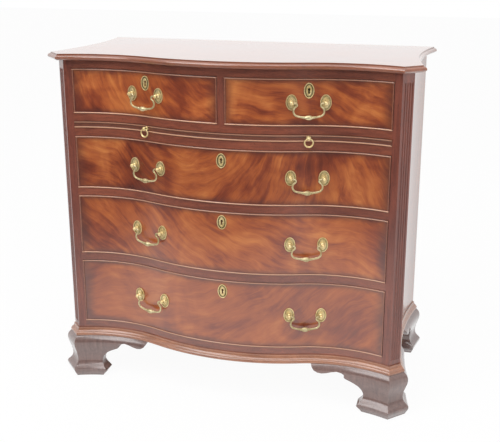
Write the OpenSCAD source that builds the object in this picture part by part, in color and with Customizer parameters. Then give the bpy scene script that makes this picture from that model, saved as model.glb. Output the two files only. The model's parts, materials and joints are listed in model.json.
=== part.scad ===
// Serpentine bachelor's chest: five cockbeaded drawers and a brushing slide, canted fluted corners,
// hollow sides and ogee bracket feet. Millimetres; front faces -Y, +Z up, origin under the middle.

/* [Plan of the front] */
// Half width of the front between the two arrises of the canted corners
half_front = 418.7; // [380:0.1:450]
// Radius of the bow in the middle of the front
bow_radius = 585; // [500:1:700]
// Radius of the two hollows beside the bow
hollow_radius = 340; // [300:1:400]
// Distance of each hollow's centre from the middle
hollow_x = 300; // [270:1:320]
// Width of the canted corner, measured along X and along Y
cant = 24.5; // [15:0.5:35]

/* [Carcass] */
// Depth of the carcass from the front arris to the back
carcass_depth = 410; // [350:1:480]
// How far each side is hollowed in plan
side_hollow = 22; // [0:0.5:30]
// Thickness of the side boards
side_thick = 18; // [14:0.5:24]
// Height of the underside of the carcass above the floor
base_z = 115.5; // [100:0.5:130]
// Height of the underside of the top
top_z = 861; // [800:0.5:900]
// Half width of the opening between the corner posts
half_open = 400.6; // [380:0.1:410]
// Depth of each corner post behind the arris
post_depth = 50; // [40:1:60]
// Depth of the drawer rails
rail_depth = 60; // [40:1:80]
// Width of the muntin between the short drawers
muntin_width = 16.6; // [12:0.1:22]

/* [Top and base] */
// Thickness of the top
top_thick = 15.5; // [13:0.5:24]
// Overhang of the top at the front, the cants and the sides
top_overhang = 24; // [15:0.5:32]
// Overhang of the top at the back
top_back = 3; // [0:0.5:10]
// Height of the base moulding
base_moulding_height = 20.5; // [15:0.5:30]
// Thickness of the foot brackets behind the carcass face
bracket_back = 9; // [6:0.5:14]

/* [Drawers] */
// Width of the cockbead seen from the front
bead = 3.2; // [2:0.1:5]
// How far the cockbead stands proud of the drawer front
bead_proud = 2.4; // [1:0.1:4]
// Depth of the cockbead from the drawer face to its back
bead_depth = 12; // [8:0.5:16]
// Thickness of the drawer fronts
front_thick = 22; // [18:0.5:28]
// Thickness of the drawer linings
lining = 10; // [7:0.5:14]
// Thickness of the drawer bottoms
bottom_thick = 6; // [5:0.5:9]
// Distance of the drawer backs behind the arris
drawer_back = 384; // [330:1:395]
// Lower edge of each row of drawers, from the short ones down
row_bottom = [725.5, 530, 351.4, 155.8]; // [100:0.1:800]
// Upper edge of each row of drawers, from the short ones down
row_top = [837.7, 666, 508.9, 329.9]; // [100:0.1:860]
// Lower and upper edge of the brushing slide
slide_edges = [688.8, 704.2]; // [600:0.1:720]
// Lower edges of the rails, from the top down
rail_bottom = [838.5, 705, 666.9, 509.8, 330.8, 115.5]; // [100:0.1:860]
// Upper edges of the rails, from the top down
rail_top = [861, 724.7, 688, 529.2, 350.5, 155]; // [100:0.1:870]

/* [Brasses] */
// Distance of each handle's middle from the middle of the chest
handle_x = 204; // [180:1:230]
// Distance between the two posts of a handle
handle_spacing = 80; // [70:0.5:95]
// Height of the handle posts in each row
handle_z = [782, 599.5, 431.5, 245]; // [100:0.5:850]
// Height of the escutcheons in each row
escutcheon_z = [809.5, 637, 482, 300.5]; // [100:0.5:850]
// Half width and half height of the oval rosettes
rosette_size = [13.3, 18.8]; // [8:0.1:25]
// Half width and half height of the oval escutcheons
escutcheon_size = [12.2, 18.2]; // [8:0.1:25]
// How far the bail hangs in front of the drawer face
bail_off = 13; // [10:0.5:18]
// Radius of the bail rod
bail_rod = 2; // [1.5:0.1:3]
// Radius of the bail pins
bail_pin = 1.6; // [1:0.05:2]
// Radius of the shanks of the posts
shank_radius = 2.2; // [1.5:0.1:3]
// Play of the shanks in the wood
shank_play = 0.1; // [0.05:0.05:0.3]
// Depth that the rosettes are let into the wood
rosette_seat = 1.5; // [0.8:0.1:2.5]
// Distance of the slide's pulls from the middle
pull_x = 205; // [180:1:230]
// Height of the slide's pulls
pull_z = 697; // [690:0.5:703]
// Radius of the slide's rings, to the middle of the wire
ring_radius = 10; // [7:0.5:14]
// Radius of the wire of the rings
ring_wire = 1.3; // [1:0.1:2]

/* [Hidden] */
$fn = 180;
hollow_gap = sqrt(pow(hollow_radius, 2) - pow(half_front - hollow_x, 2));
bow_gap = sqrt(pow(bow_radius + hollow_radius, 2) - pow(hollow_x, 2));
arris_y = -round((carcass_depth + top_back - hollow_gap + bow_gap - bow_radius - top_overhang) * 500) / 1000;
back_y = arris_y + carcass_depth;
hollow_y = arris_y - round(hollow_gap * 1000) / 1000;
bow_y = hollow_y + bow_gap;
turn_angle = asin(hollow_x / (bow_radius + hollow_radius));
tangent_x = bow_radius * sin(turn_angle);
side_x = half_front + cant;
side_chord = carcass_depth - cant;
side_radius = round((pow(side_chord / 2, 2) + pow(side_hollow, 2)) / (2 * side_hollow));
side_cx = side_x - side_hollow + side_radius;
side_cy = arris_y + cant + side_chord / 2;
moulding_z = base_z + base_moulding_height;
half_drawer = half_open - 0.8;
half_muntin = muntin_width / 2;
span_x = handle_spacing / 2 * cos(14.63);
handle_turn = atan2(front_y(handle_x + span_x) - front_y(handle_x - span_x), 2 * span_x);
handle_y = (front_y(handle_x + span_x) + front_y(handle_x - span_x)) / 2;
box_back = arris_y + drawer_back;

// Edge of the top: outward distance and height, from the underside up
top_edge = [for (p = [[5.5, 0], [3.5, 0.09], [1.4, 0.2], [0, 0.29], [0, 0.4], [0.4, 0.52], [1.4, 0.63],
  [3, 0.72], [4.8, 0.77], [5.8, 0.79], [5.8, 0.85], [7.4, 0.85], [7.4, 1]])
  [top_overhang - p[0], top_thick * p[1]]];
// Base moulding, from its lower edge up
base_edge = [for (p = [[10.4, 0], [11.2, 0.05], [11.4, 0.2], [10.6, 0.31], [8.6, 0.39], [8.6, 0.47],
  [7, 0.52], [5, 0.61], [3.6, 0.75], [3, 0.88], [2.8, 1]]) [p[0], base_moulding_height * p[1]]];
// Ogee of the feet, from the floor up
foot_scale = base_z / 115.5;
foot_edge = [for (p = [[16.5, 0], [19.5, 6], [22.6, 12], [24.6, 18], [24.4, 22.5], [21.6, 26.5],
  [17, 30.5], [13, 35], [10.8, 40.5], [10, 47], [10.6, 55], [12.8, 64], [16, 74], [18.9, 83],
  [20.4, 92], [20, 100], [17.4, 107], [13, 112], [9.4, 115.5]]) [p[0], foot_scale * p[1]]];

function front_y(x) = abs(x) < tangent_x ? bow_y - sqrt(pow(bow_radius, 2) - x * x)
  : hollow_y + sqrt(pow(hollow_radius, 2) - pow(abs(x) - hollow_x, 2));
function front_turn(x) = sign(x) * (abs(x) < tangent_x ? asin(abs(x) / bow_radius)
  : asin((hollow_x - abs(x)) / hollow_radius));
function oval(a, b, n) = [for (i = [0:n - 1]) [a * cos(i * 360 / n), b * sin(i * 360 / n)]];

// ---- plan outlines ----

// The given half and its mirror image
module both() {
  children();
  mirror([1, 0, 0]) children();
}

// The bow and the hollow meet on the line through their centres
wedge_tip = [1.2 * hollow_x, bow_y - 1.2 * bow_gap];
module bow_wedge() polygon([[0, bow_y], [0, wedge_tip[1]], wedge_tip]);
module hollow_wedge() polygon([[0, bow_y], wedge_tip, [700, wedge_tip[1]], [700, bow_y]]);

// Right half of the front line moved forward by d, from the middle outward
function front_line(d) = concat(
  [for (i = [1:12]) let (a = turn_angle * i / 12) [(bow_radius + d) * sin(a), bow_y - (bow_radius + d) * cos(a)]],
  [for (i = [1:26]) let (a = (turn_angle + 45) * i / 26 - turn_angle)
    [hollow_x + (hollow_radius - d) * sin(a), hollow_y + (hollow_radius - d) * cos(a)]]);

// Everything behind the serpentine front, moved forward by d
module behind_front(d) {
  line = front_line(d);
  n = len(line) - 1;
  polygon(concat([[-700, bow_y], [-700, line[n][1]]], [for (i = [n:-1:0]) [-line[i][0], line[i][1]]],
    [[0, bow_y - bow_radius - d]], line, [[700, line[n][1]], [700, bow_y]]));
}

// Everything inside the canted corner on side s, moved outward by d
module inside_cant(s, d) {
  e = d * sqrt(2);
  polygon([[s * (half_front + e - 400), arris_y - 400], [s * (half_front + e + 700), arris_y + 700],
    [-s * 700, arris_y + 700], [-s * 700, arris_y - 400]]);
}

// The hollow drum outside the side s; the side lies against it
module side_drum(s, d) {
  translate([s * side_cx, side_cy]) circle(side_radius - d);
}

// The plan of the carcass moved outward by d, down to the back
module plan(d, back) {
  difference() {
    intersection() {
      behind_front(d);
      inside_cant(1, d);
      inside_cant(-1, d);
      translate([-600, arris_y - 100]) square([1200, back - arris_y + 100]);
    }
    side_drum(1, d);
    side_drum(-1, d);
  }
}

// Right-hand part of the plan within an x and y range
module plan_corner(d, x0, x1, y0, y1) {
  intersection() {
    difference() {
      intersection() {
        behind_front(d);
        inside_cant(1, d);
      }
      side_drum(1, d);
    }
    translate([x0, y0]) square([x1 - x0, y1 - y0]);
  }
}

module slab(z0, z1) {
  translate([0, 0, z0]) linear_extrude(z1 - z0) children();
}

module block(x0, x1, y0, y1, z0, z1) {
  translate([x0, y0, z0]) cube([x1 - x0, y1 - y0, z1 - z0]);
}

// A piece that follows the front between two distances, x and z ranges
module front_piece(x0, x1, z0, z1, d0, d1) {
  slab(z0, z1) intersection() {
    difference() {
      behind_front(d0);
      behind_front(d1);
    }
    translate([x0, arris_y - 90]) square([x1 - x0, 220]);
  }
}

// ---- moulded edges: edge is a list of [outward distance, height above z0] ----

module bow_sweep(edge, z0) {
  intersection() {
    translate([0, bow_y, z0]) rotate_extrude()
      polygon(concat([[0, edge[0][1]]], [for (p = edge) [bow_radius + p[0], p[1]]],
        [[0, edge[len(edge) - 1][1]]]));
    slab(z0 - 1, z0 + 140) bow_wedge();
  }
}

module hollow_profile(edge) polygon(concat([[1100, edge[0][1]]],
  [for (p = edge) [hollow_radius - p[0], p[1]]], [[1100, edge[len(edge) - 1][1]]]));

module hollow_sweep(edge, z0) {
  intersection() {
    translate([hollow_x, hollow_y, z0]) rotate(180) rotate_extrude() hollow_profile(edge);
    slab(z0 - 1, z0 + 140) hollow_wedge();
  }
}

// The edge moved up by a hair, so that no corners of two runs fall together in a mitre, and made
// longer at both ends, so that the front's run gives the flat faces
function beside(edge, e) = concat([[edge[0][0], edge[0][1] - 1]], [for (p = edge) [p[0], p[1] + e]],
  [[edge[len(edge) - 1][0], edge[len(edge) - 1][1] + 1]]);

module cant_sweep(edge, z0) {
  run = beside(edge, 0.05);
  translate([half_front, arris_y, z0]) rotate([90, 0, 135]) translate([0, 0, -500])
    linear_extrude(1000) polygon(concat([[900, run[0][1]]], [for (p = run) [-p[0], p[1]]],
      [[900, run[len(run) - 1][1]]]));
}

module side_sweep(edge, z0) {
  run = beside(edge, -0.05);
  translate([side_cx, side_cy, z0]) rotate([0, 0, 160]) rotate_extrude(angle = 40)
    polygon(concat([[side_radius + 960, run[0][1]]], [for (p = run) [side_radius - p[0], p[1]]],
      [[side_radius + 960, run[len(run) - 1][1]]]));
}

// A slab with the whole moulded plan, down to the back
module moulded(edge, z0, back) {
  both() intersection() {
    union() {
      bow_sweep(edge, z0);
      hollow_sweep(edge, z0);
    }
    cant_sweep(edge, z0);
    side_sweep(edge, z0);
    block(0, 600, arris_y - 90, back, z0 - 5, z0 + 140);
  }
}

// ---- carcass ----

module top_board() color("saddlebrown") moulded(top_edge, top_z, back_y + top_back);

// Stub tenons of the six rails at their right ends
module rail_tenons() {
  for (i = [0:5]) block(half_open - 4, half_open + 12, arris_y + 16, arris_y + 40,
    rail_bottom[i] + 4, rail_top[i] - 4);
}

// Four flutes with rounded ends on the right cant
module flutes() {
  for (k = [-1.5, -0.5, 0.5, 1.5])
    translate([half_front + cant / 2 + (k * 6.7 + 0.9) / sqrt(2),
      arris_y + cant / 2 + (k * 6.7 - 0.9) / sqrt(2), 0])
      rotate_extrude($fn = 32) polygon([[0, 148], [1.5, 148.6], [2.4, 149.8], [2.8, 151.5], [2.8, 834.5],
        [2.4, 836.2], [1.5, 837.4], [0, 838]]);
}

module corner_post() {
  difference() {
    slab(base_z, top_z) plan_corner(0, half_open, 470, arris_y - 40, arris_y + post_depth);
    flutes();
    rail_tenons();
  }
}

module corner_post_left() color("sienna") mirror([1, 0, 0]) corner_post();
module corner_post_right() color("sienna") corner_post();

// Everything between the side boards, let into them by e
module between_sides(e, y0, y1) {
  difference() {
    translate([-600, y0]) square([1200, y1 - y0]);
    side_drum(1, -(side_thick - e));
    side_drum(-1, -(side_thick - e));
  }
}

// A board behind rail i, from the rail to the back and let 5 mm into the sides
module dust_board(i) {
  slab(rail_top[i] - 10, rail_top[i]) intersection() {
    behind_front(-rail_depth);
    union() {
      between_sides(5, arris_y + post_depth, back_y - 10);
      translate([-half_open, arris_y]) square([2 * half_open, post_depth + 1]);
    }
  }
}

// The grooves of the dust boards in the sides
module dust_grooves() {
  for (i = [1:5]) slab(rail_top[i] - 10, rail_top[i]) between_sides(5, arris_y + post_depth, back_y - 10);
}

module side_board() {
  difference() {
    slab(base_z, top_z) intersection() {
      difference() {
        side_drum(1, -side_thick);
        side_drum(1, 0);
      }
      translate([380, arris_y + post_depth]) square([100, carcass_depth - post_depth]);
    }
    dust_grooves();
    back_panel();
  }
}

module side_left() color("sienna") mirror([1, 0, 0]) side_board();
module side_right() color("sienna") side_board();

module back_panel() {
  slab(base_z, top_z) between_sides(7, back_y - 10, back_y);
}

module back_boards() color("burlywood") difference() {
  back_panel();
  for (z = [360, 610]) block(-600, 600, back_y - 20, back_y + 10, z - 0.4, z + 0.4);
}

module drawer_rail(i) {
  front_piece(-half_open, half_open, rail_bottom[i], rail_top[i], 0, -rail_depth);
  both() block(half_open - 4, half_open + 12, arris_y + 16, arris_y + 40,
    rail_bottom[i] + 4, rail_top[i] - 4);
}

// Mortises for the lock bolts in the rails above the locks
module bolt_mortise(x, z) {
  translate([x - 17.2 * sin(front_turn(x)), front_y(x) + 17.2 * cos(front_turn(x)), z])
    block(-9.5, 9.5, -6.6, 6.6, -4, 9);
}

module bolt_mortises() {
  for (x = [-handle_x, handle_x]) bolt_mortise(x, row_top[0]);
  for (i = [1:3]) bolt_mortise(0, row_top[i]);
}

module muntin_tenon() block(-6, 6, front_y(0) + 22, front_y(0) + 42, rail_top[1] - 5, rail_bottom[0] + 9);

module drawer_rails() color("sienna") difference() {
  for (i = [0:5]) drawer_rail(i);
  bolt_mortises();
  muntin_tenon();
}

module muntin() color("sienna") {
  front_piece(-half_muntin, half_muntin, rail_top[1], rail_bottom[0], 0, -rail_depth);
  muntin_tenon();
}

module dust_boards() color("tan") for (i = [1:5]) dust_board(i);

// Guides beside and between the drawers, and kickers under the top
module guides_and_kickers() color("tan") {
  for (s = [-1, 1], i = [1, 3, 4, 5]) slab(rail_top[i], rail_top[i] + 12) intersection() {
    between_sides(0, arris_y + 80, back_y - 20);
    translate([s > 0 ? half_drawer - bead + 0.8 : -600, arris_y])
      square([600 - half_drawer + bead - 0.8, carcass_depth]);
  }
  block(-11.5, 11.5, arris_y + 45, back_y - 20, rail_top[1], rail_top[1] + 16);
  for (x = [-390, -32, 358]) block(x, x + 32, arris_y + 85, back_y - 12, rail_bottom[0] + 2, top_z);
}

module base_moulding() color("saddlebrown") difference() {
  moulded(base_edge, base_z, back_y);
  slab(base_z - 5, moulding_z + 5) plan(0, back_y + 5);
}

// ---- feet ----

// Cut-away under a bracket: distance from the corner inward and height
bracket_cut = [for (p = [[64, -1], [64, 0.5], [69, 8], [76, 15.5], [77, 18.8], [72, 24.5], [65, 32],
  [61.5, 39], [62, 48.5], [67, 58], [75, 66.5], [85, 73], [97, 79], [108, 84], [111.5, 87.5],
  [111.5, 95], [118, 99], [130, 101.3], [143, 98.8], [156, 95], [168, 93.5], [178, 95.3],
  [187, 100.6], [193, 108], [197, 116]]) [p[0], foot_scale * p[1]]];
front_cut = concat(bracket_cut, [[300, foot_scale * 116], [300, -1]]);
side_cut = concat([for (p = bracket_cut) [p[0] < 90 ? p[0] + 12 : 102 + (p[0] - 90) * 0.62, p[1]]],
  [[300, foot_scale * 116], [300, -1]]);

module foot_front() {
  difference() {
    intersection() {
      translate([hollow_x, hollow_y, 0]) rotate(45) rotate_extrude(angle = 62) hollow_profile(foot_edge);
      cant_sweep(foot_edge, 0);
      side_sweep(foot_edge, 0);
      block(215, 500, arris_y - 60, arris_y + 175, -1, 200);
    }
    slab(-5, base_z + 5) plan_corner(-bracket_back, 0, 600, arris_y - 90, back_y + 5);
    translate([0, arris_y + 60, 0]) rotate([90, 0, 0]) linear_extrude(160)
      polygon([for (p = front_cut) [half_front - p[0], p[1]]]);
    translate([380, arris_y - 6, 0]) rotate([90, 0, 90]) linear_extrude(140) polygon(side_cut);
  }
}

module foot_rear() {
  difference() {
    intersection() {
      side_sweep(foot_edge, 0);
      slab(-1, base_z + 5) side_drum(1, -bracket_back);
      block(380, 500, back_y - 155, back_y, 0, base_z);
    }
    translate([380, back_y + 16, 0]) rotate([90, 0, 90]) linear_extrude(140)
      polygon([for (p = side_cut) [-p[0], p[1]]]);
  }
  difference() {
    slab(0, base_z) difference() {
      translate([300, back_y - 30]) square([180, 20]);
      side_drum(1, -4);
    }
    translate([0, back_y, 0]) rotate([90, 0, 0]) linear_extrude(60)
      polygon([for (p = [[290, -1], [385, -1], [385, 20.3], [372, 60], [330, 96], [299, 108.4], [290, 108.4]])
        [p[0], foot_scale * p[1]]]);
  }
}

module foot_front_left() color("saddlebrown") mirror([1, 0, 0]) foot_front();
module foot_front_right() color("saddlebrown") foot_front();
module foot_rear_left() color("saddlebrown") mirror([1, 0, 0]) foot_rear();
module foot_rear_right() color("saddlebrown") foot_rear();

module foot_blocks() color("tan") both() {
  slab(6, base_z) plan_corner(-bracket_back, 388, 440, arris_y + 18, arris_y + 58);
  slab(6, base_z) plan_corner(-bracket_back, 392, 440, back_y - 68, back_y - 30);
}

// ---- drawers ----

// Frame on the face of the front at x, z: X along the face, Y into the wood
module at_front(x, z) {
  translate([x, front_y(x), z]) rotate([0, 0, front_turn(x)]) children();
}

// Frame of a handle: its posts stand at X = -spacing / 2 and + spacing / 2
module at_handle(x, z) {
  translate([x, handle_y, z]) rotate([0, 0, sign(x) * handle_turn]) children();
}

// Upright oval plate between two distances behind the face (negative is in front)
module oval_plate(a, b, y0, y1) {
  translate([0, y1, 0]) rotate([90, 0, 0]) linear_extrude(y1 - y0) polygon(oval(a, b, 28));
}

// Oval rosette, seated a little into the wood
module rosette() {
  a = rosette_size[0];
  b = rosette_size[1];
  difference() {
    union() {
      difference() {
        oval_plate(a, b, -2.2, rosette_seat);
        oval_plate(a - 1.9, b - 1.9, -4, -1.1);
      }
      oval_plate(a - 4.6, b - 6, -2, -0.6);
      oval_plate(a - 6.6, b - 9, -3, -0.6);
    }
    shank_hole(10);
  }
}

module shank_hole(depth) translate([0, depth, 0]) rotate([90, 0, 0])
  cylinder(r = shank_radius + shank_play, h = depth + 20, $fn = 32);

// Turned post with its shank and a ball pierced for the bail, on the Y axis
module post() {
  difference() {
    rotate([90, 0, 0]) rotate_extrude($fn = 36) polygon([[0, -25], [shank_radius, -25], [shank_radius, 3.1],
      [5.2, 3.1], [5.2, 4.6], [4, 5.8], [3.1, 7.4], [3, 8.9], [3.9, 10], [4.6, 11.2], [4.9, 12.6],
      [4.9, 13.4], [4.6, 14.8], [3.9, 16], [2.9, 17], [1.5, 17.7], [0, 17.9]]);
    translate([-8, -bail_off, 0]) rotate([0, 90, 0]) cylinder(r = bail_pin + 0.06, h = 16, $fn = 32);
  }
}

module nut() difference() {
  translate([0, front_thick + 2.6, 0]) rotate([90, 0, 0]) cylinder(r = 6, h = 2.8, $fn = 6);
  shank_hole(30);
}

// What the posts, nuts and plates take out of the wood
module handle_holes(x, z) {
  at_handle(x, z) for (u = [-handle_spacing / 2, handle_spacing / 2]) translate([u, 0, 0]) {
    shank_hole(25.2);
    translate([0, front_thick + 18, 0]) rotate([90, 0, 0]) cylinder(r = 6.2, h = 18.2, $fn = 6);
    oval_plate(rosette_size[0], rosette_size[1], -8, rosette_seat);
  }
}

module handle_brasses(x, z) {
  at_handle(x, z) for (u = [-handle_spacing / 2, handle_spacing / 2]) translate([u, 0, 0]) {
    post();
    rosette();
    nut();
  }
}

module keyhole(y0, y1) {
  translate([0, y1, 0]) rotate([90, 0, 0]) linear_extrude(y1 - y0) {
    translate([0, 3]) circle(r = 3, $fn = 32);
    polygon([[-1.3, 3], [1.3, 3], [2.1, -7], [-2.1, -7]]);
  }
}

module escutcheon() {
  a = escutcheon_size[0];
  b = escutcheon_size[1];
  difference() {
    oval_plate(a, b, -2, 0.6);
    oval_plate(a - 1.7, b - 1.7, -4, -1.1);
    keyhole(-5, 5);
  }
}

// Lock case in the frame of the escutcheon, up to the edge h above its middle
module lock_case(h) {
  difference() {
    block(-27, 27, 13.2, 21.6, -16, h);
    block(-7.3, 7.3, 14.2, 20.2, -12, h + 5);
    keyhole(5, 16);
  }
}

// ---- drawers: x0 and x1 are the outer edges of the cockbead, i is the row ----

module cockbead(x0, x1, i) color("peru") difference() {
  front_piece(x0, x1, row_bottom[i], row_top[i], bead_proud, -bead_depth);
  block(x0 + bead, x1 - bead, arris_y - 90, arris_y + 90, row_bottom[i] + bead, row_top[i] - bead);
}

module drawer_panel(x0, x1, i) {
  slab(row_bottom[i] + 7, row_bottom[i] + 7 + bottom_thick) intersection() {
    behind_front(6 - front_thick);
    translate([x0 + bead + lining - 5, arris_y - 90])
      square([x1 - x0 - 2 * (bead + lining - 5), box_back - arris_y + 90]);
  }
}

// Dovetails of a drawer side between xa and xb
module tails(xa, xb, i) {
  z0 = row_bottom[i] + 15;
  z1 = row_top[i] - 11;
  n = round((z1 - z0) / 34);
  y0 = front_y((xa + xb) / 2) + 9;
  y1 = y0 + front_thick - 2;
  for (k = [0:n - 1]) let (z = z0 + (k + 0.5) * (z1 - z0) / n)
    translate([xa, 0, 0]) rotate([90, 0, 90]) linear_extrude(xb - xa)
      polygon([[y0, z - 10], [y1, z - 6.5], [y1, z + 6.5], [y0, z + 10]]);
}

module all_tails(x0, x1, i) {
  tails(x0 + bead, x0 + bead + lining, i);
  tails(x1 - bead - lining, x1 - bead, i);
}

module drawer_front(x0, x1, i, handles, lock_x) color("chocolate") difference() {
  front_piece(x0 + bead, x1 - bead, row_bottom[i] + bead, row_top[i] - bead, 0, -front_thick);
  all_tails(x0, x1, i);
  drawer_panel(x0, x1, i);
  for (x = handles) handle_holes(x, handle_z[i]);
  at_front(lock_x, escutcheon_z[i]) {
    block(-27, 27, 13.2, 40, -16, 60);
    oval_plate(escutcheon_size[0], escutcheon_size[1], -8, 0.6);
    keyhole(-5, 16);
  }
}

// The board at the back, let into a rebate of each side; e is the play in the rebate
module back_board(x0, x1, i, e) {
  block(x0 + bead + lining - 5 - e, x1 - bead - lining + 5 + e, box_back - 9 - e, box_back + (e > 0 ? 1 : 0),
    row_bottom[i] + 7 + bottom_thick - e, row_top[i] - 13 + e);
}

module drawer_linings(x0, x1, i) color("wheat") {
  difference() {
    union() {
      slab(row_bottom[i] - 0.4, row_top[i] - 9) intersection() {
        behind_front(-front_thick);
        for (x = [x0 + bead, x1 - bead - lining]) translate([x, arris_y - 60])
          square([lining, box_back - arris_y + 60]);
      }
      all_tails(x0, x1, i);
    }
    drawer_panel(x0, x1, i);
    back_board(x0, x1, i, 0.05);
  }
  back_board(x0, x1, i, 0);
}

module drawer_bottom(x0, x1, i) color("burlywood") drawer_panel(x0, x1, i);

module drawer_brasses(i, handles, lock_x) color("darkkhaki") {
  for (x = handles) handle_brasses(x, handle_z[i]);
  at_front(lock_x, escutcheon_z[i]) {
    escutcheon();
    lock_case(row_top[i] - bead - escutcheon_z[i]);
  }
}

module drawer_bolt(i, lock_x) color("dimgray") at_front(lock_x, escutcheon_z[i])
  block(-7, 7, 14.5, 19.9, -9, row_top[i] - bead - escutcheon_z[i] - 1);

short_in = half_muntin + 0.8;

module short_right_front() drawer_front(short_in, half_drawer, 0, [handle_x], handle_x);
module short_right_cockbead() cockbead(short_in, half_drawer, 0);
module short_right_linings() drawer_linings(short_in, half_drawer, 0);
module short_right_bottom() drawer_bottom(short_in, half_drawer, 0);
module short_right_brasses() drawer_brasses(0, [handle_x], handle_x);
module short_right_bolt() drawer_bolt(0, handle_x);

module short_left_front() mirror([1, 0, 0]) short_right_front();
module short_left_cockbead() mirror([1, 0, 0]) short_right_cockbead();
module short_left_linings() mirror([1, 0, 0]) short_right_linings();
module short_left_bottom() mirror([1, 0, 0]) short_right_bottom();
module short_left_brasses() mirror([1, 0, 0]) short_right_brasses();
module short_left_bolt() mirror([1, 0, 0]) short_right_bolt();

module upper_front() drawer_front(-half_drawer, half_drawer, 1, [-handle_x, handle_x], 0);
module upper_cockbead() cockbead(-half_drawer, half_drawer, 1);
module upper_linings() drawer_linings(-half_drawer, half_drawer, 1);
module upper_bottom() drawer_bottom(-half_drawer, half_drawer, 1);
module upper_brasses() drawer_brasses(1, [-handle_x, handle_x], 0);
module upper_bolt() drawer_bolt(1, 0);

module middle_front() drawer_front(-half_drawer, half_drawer, 2, [-handle_x, handle_x], 0);
module middle_cockbead() cockbead(-half_drawer, half_drawer, 2);
module middle_linings() drawer_linings(-half_drawer, half_drawer, 2);
module middle_bottom() drawer_bottom(-half_drawer, half_drawer, 2);
module middle_brasses() drawer_brasses(2, [-handle_x, handle_x], 0);
module middle_bolt() drawer_bolt(2, 0);

module lower_front() drawer_front(-half_drawer, half_drawer, 3, [-handle_x, handle_x], 0);
module lower_cockbead() cockbead(-half_drawer, half_drawer, 3);
module lower_linings() drawer_linings(-half_drawer, half_drawer, 3);
module lower_bottom() drawer_bottom(-half_drawer, half_drawer, 3);
module lower_brasses() drawer_brasses(3, [-handle_x, handle_x], 0);
module lower_bolt() drawer_bolt(3, 0);

// ---- bails: the bend of the rod is drawn in X and Y and stood up ----

hook_r = 4.5;
hook_end = 240;
bend_r = 12;
bend_end = -75;
hook_x = handle_spacing / 2 - 8;
hook_px = hook_x + hook_r * cos(hook_end);
hook_py = -hook_r + hook_r * sin(hook_end);
bend_x = hook_px - bend_r * cos(hook_end - 180);
bend_y = hook_py - bend_r * sin(hook_end - 180);
grip_px = bend_x + bend_r * cos(bend_end);
grip_r = grip_px / cos(bend_end);
grip_y = bend_y + bend_r * sin(bend_end) - grip_r * sin(bend_end);

// Stations along the bent rod: x, y, direction and radius. This is one turn of it, from a0 to a1
function rod_turn(x, y, r, a0, a1, n, ahead) = [for (i = [1:n]) let (a = a0 + (a1 - a0) * i / n)
  [x + r * cos(a), y + r * sin(a), a + ahead, bail_rod]];

// The right half of the rod, from its pin to the middle, with the turned middle at the end
function half_rod(e) = concat(
  [[e + 4, 0, 180, bail_pin], [e - 5.1, 0, 180, bail_pin], [e - 5.4, 0, 180, bail_rod + 0.3],
    [hook_x + 0.8, 0, 180, bail_rod + 0.3], [hook_x, 0, 180, bail_rod]],
  rod_turn(hook_x, -hook_r, hook_r, 90, hook_end, 6, 90),
  rod_turn(bend_x, bend_y, bend_r, hook_end - 180, bend_end, 8, -90),
  [for (p = [[19, 0], [12, 0.2], [9.6, 0.2], [9, 0.9], [8, 1.2], [7, 0.5], [5.6, 0.8], [4, 1.8], [1.8, 2.4]])
    let (a = p[0] / grip_r * 180 / PI - 90)
    [grip_r * cos(a), grip_y + grip_r * sin(a), a - 90, bail_rod + p[1]]]);

// A closed tube of m sides through the stations
module tube(stations, m) {
  n = len(stations) - 1;
  polyhedron(
    points = [for (q = stations, j = [0:m - 1]) let (c = q[3] * cos(360 * j / m))
      [q[0] - c * sin(q[2]), q[1] + c * cos(q[2]), q[3] * sin(360 * j / m)]],
    faces = concat([[for (j = [0:m - 1]) j]], [[for (j = [m - 1:-1:0]) n * m + j]],
      [for (i = [0:n - 1], j = [0:m - 1]) [i * m + j, (i + 1) * m + j, i * m + (j + 1) % m]],
      [for (i = [0:n - 1], j = [0:m - 1])
        [i * m + (j + 1) % m, (i + 1) * m + j, (i + 1) * m + (j + 1) % m]]));
}

module bail(x, z) color("darkkhaki") at_handle(x, z) translate([0, -bail_off, 0]) rotate([90, 0, 0]) {
  half = half_rod(handle_spacing / 2);
  tube(concat(half, [for (i = [len(half) - 1:-1:0]) [-half[i][0], half[i][1], -half[i][2], half[i][3]]]), 10);
}

module short_left_bail() bail(-handle_x, handle_z[0]);
module short_right_bail() bail(handle_x, handle_z[0]);
module upper_left_bail() bail(-handle_x, handle_z[1]);
module upper_right_bail() bail(handle_x, handle_z[1]);
module middle_left_bail() bail(-handle_x, handle_z[2]);
module middle_right_bail() bail(handle_x, handle_z[2]);
module lower_left_bail() bail(-handle_x, handle_z[3]);
module lower_right_bail() bail(handle_x, handle_z[3]);

// ---- brushing slide ----

// What a pull takes out of the slide
module pull_hole(x) at_front(x, pull_z) rotate([90, 0, 0]) {
  translate([0, 0, -24.2]) cylinder(r = 2.1, h = 25, $fn = 24);
  translate([0, 0, -0.6]) cylinder(r = 5.8, h = 6, $fn = 36);
}

module slide_lipping() color("peru") difference() {
  union() {
    front_piece(-half_drawer, half_drawer, slide_edges[0], slide_edges[1], 0, -14);
    front_piece(-half_drawer, half_drawer, slide_edges[0], slide_edges[0] + 2.8, bead_proud, -1);
    front_piece(-half_drawer, half_drawer, slide_edges[1] - 2.8, slide_edges[1], bead_proud, -1);
  }
  for (x = [-pull_x, pull_x]) pull_hole(x);
}

module slide_board() color("chocolate") difference() {
  slab(rail_top[2] + 0.5, rail_top[2] + 14.5) intersection() {
    behind_front(-14);
    translate([-396, arris_y - 60]) square([792, 448]);
  }
  for (x = [-pull_x, pull_x]) pull_hole(x);
}

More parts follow.
